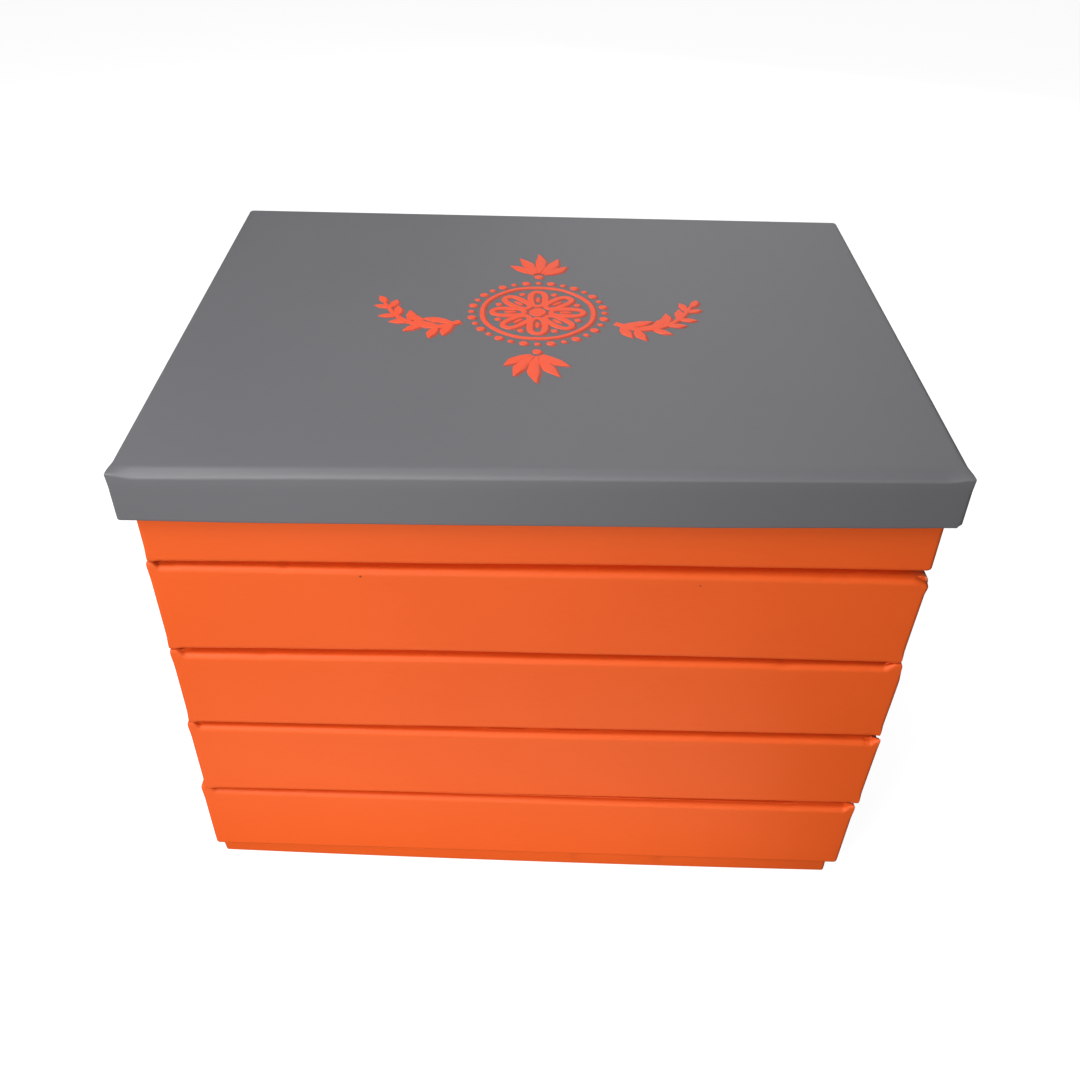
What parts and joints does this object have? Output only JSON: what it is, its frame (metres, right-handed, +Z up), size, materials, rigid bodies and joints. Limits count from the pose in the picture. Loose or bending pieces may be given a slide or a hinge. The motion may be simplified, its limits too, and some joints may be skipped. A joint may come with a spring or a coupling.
{
  "type": "box of chocolates",
  "caption": "Rectangular gift box of paper-wrapped board tiers nested on each other under a shallow overhanging lift-off lid, shut.",
  "frame": {"origin": "on the surface it stands on, under the middle of the lid", "axes": "+X along the lid's long side to the right, +Y from the front to the back, +Z up"},
  "size_m": [0.2501, 0.194, 0.1906],
  "materials": {
    "lid_paper": "matte grey wrapping paper with a soft sheen on board",
    "tray_paper": "matte orange wrapping paper with a very fine grain on board",
    "print_ink": "bright orange-red raised satin print"
  },
  "bodies": {
    "root": {"lid": "lid_paper", "tray_1": "tray_paper", "tray_2": "tray_paper", "tray_3": "tray_paper", "tray_4": "tray_paper", "tray_5": "tray_paper"}
  },
  "joints": []
}
